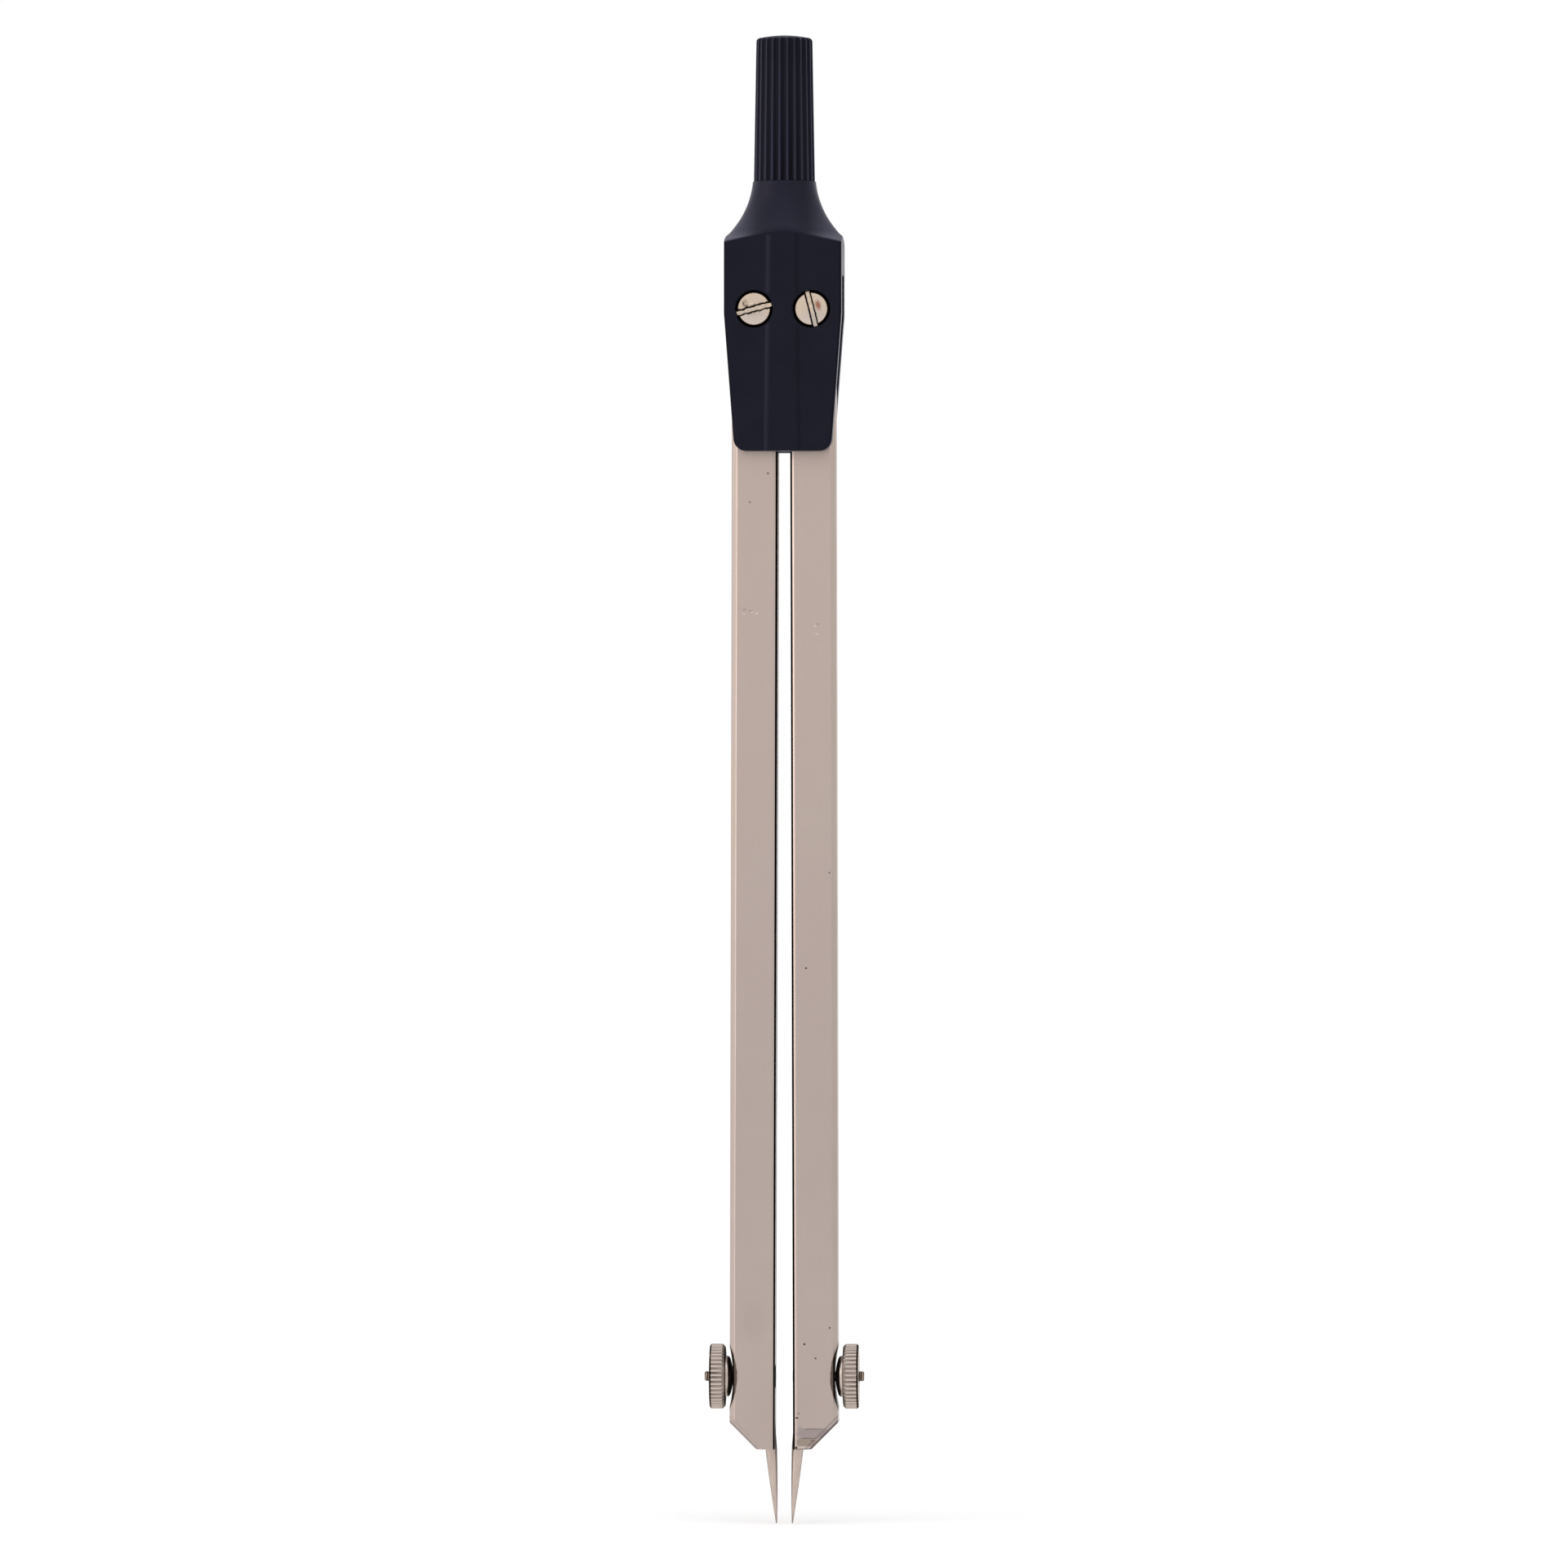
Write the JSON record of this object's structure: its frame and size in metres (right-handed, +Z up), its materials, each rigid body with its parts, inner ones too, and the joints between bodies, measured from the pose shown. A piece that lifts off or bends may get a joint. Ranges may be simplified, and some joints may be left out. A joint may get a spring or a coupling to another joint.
{
  "type": "drafting divider",
  "caption": "Friction divider with geared bar legs in a black moulded yoke, a ribbed handle, and steel needles held by knurled thumb nuts, for stepping off distances.",
  "frame": {"origin": "midway between the needle tips, at the lowest point", "axes": "+Z up along the closed legs to the handle, -Y out of the front cheek with the screw heads, +X towards the right leg"},
  "size_m": [0.0178, 0.0116, 0.165],
  "materials": {
    "black_plastic": "moulded black ABS, fine satin",
    "leg_plate": "satin nickel plate over brass",
    "nut_plate": "nickel plate over brass, knurled",
    "screw_plate": "nickel plate over brass, scratched",
    "needle_steel": "ground and polished needle steel",
    "bare_steel": "zinc-plated steel",
    "nylon": "natural nylon"
  },
  "bodies": {
    "head": {"yoke": "black_plastic", "handle": "black_plastic", "left_pivot_screw": "screw_plate", "right_pivot_screw": "screw_plate", "left_pivot_nut": "bare_steel", "right_pivot_nut": "bare_steel", "left_front_washer": "nylon", "right_front_washer": "nylon", "left_rear_washer": "nylon", "right_rear_washer": "nylon"},
    "right_leg": {"right_leg": "leg_plate"},
    "right_thumb_nut": {"right_thumb_nut": "nut_plate"},
    "right_clamp_bolt": {"right_clamp_bolt": "leg_plate"},
    "right_needle": {"right_needle": "needle_steel"},
    "left_leg": {"left_leg": "leg_plate"},
    "left_thumb_nut": {"left_thumb_nut": "nut_plate"},
    "left_clamp_bolt": {"left_clamp_bolt": "leg_plate"},
    "left_needle": {"left_needle": "needle_steel"}
  },
  "joints": [
    {"name": "right_leg_swing", "type": "hinge", "parent": "head", "child": "right_leg", "pos_m": [0.00317, 0, 0.13451], "axis": [0, -1, 0], "range_deg": [-0.25, 60]},
    {"name": "right_nut_turn", "type": "hinge", "parent": "right_leg", "child": "right_thumb_nut", "pos_m": [0.00351, 0, 0.01631], "axis": [1, 0, 0.0028], "range_deg": [0, 360]},
    {"name": "right_bolt_draw", "type": "slide", "parent": "right_leg", "child": "right_clamp_bolt", "axis": [-1, 0, -0.0028], "range_m": [0, 0.00025]},
    {"name": "right_needle_slide", "type": "slide", "parent": "right_leg", "child": "right_needle", "axis": [-0.0715, 0, -0.9974], "range_m": [0, 0.0025]},
    {"name": "left_leg_swing", "type": "hinge", "parent": "head", "child": "left_leg", "pos_m": [-0.00317, 0, 0.13451], "axis": [0, 1, 0], "range_deg": [-0.25, 60]},
    {"name": "left_nut_turn", "type": "hinge", "parent": "left_leg", "child": "left_thumb_nut", "pos_m": [-0.00351, 0, 0.01631], "axis": [-1, 0, 0.0028], "range_deg": [0, 360]},
    {"name": "left_bolt_draw", "type": "slide", "parent": "left_leg", "child": "left_clamp_bolt", "axis": [1, 0, -0.0028], "range_m": [0, 0.00025]},
    {"name": "left_needle_slide", "type": "slide", "parent": "left_leg", "child": "left_needle", "axis": [0.0715, 0, -0.9974], "range_m": [0, 0.0025]}
  ],
  "couplings": [
    {"joint": "right_nut_turn", "follows": "right_bolt_draw", "rad_per_m": 25133},
    {"joint": "left_nut_turn", "follows": "left_bolt_draw", "rad_per_m": 25133},
    {"joint": "left_leg_swing", "follows": "right_leg_swing", "ratio": 1}
  ]
}
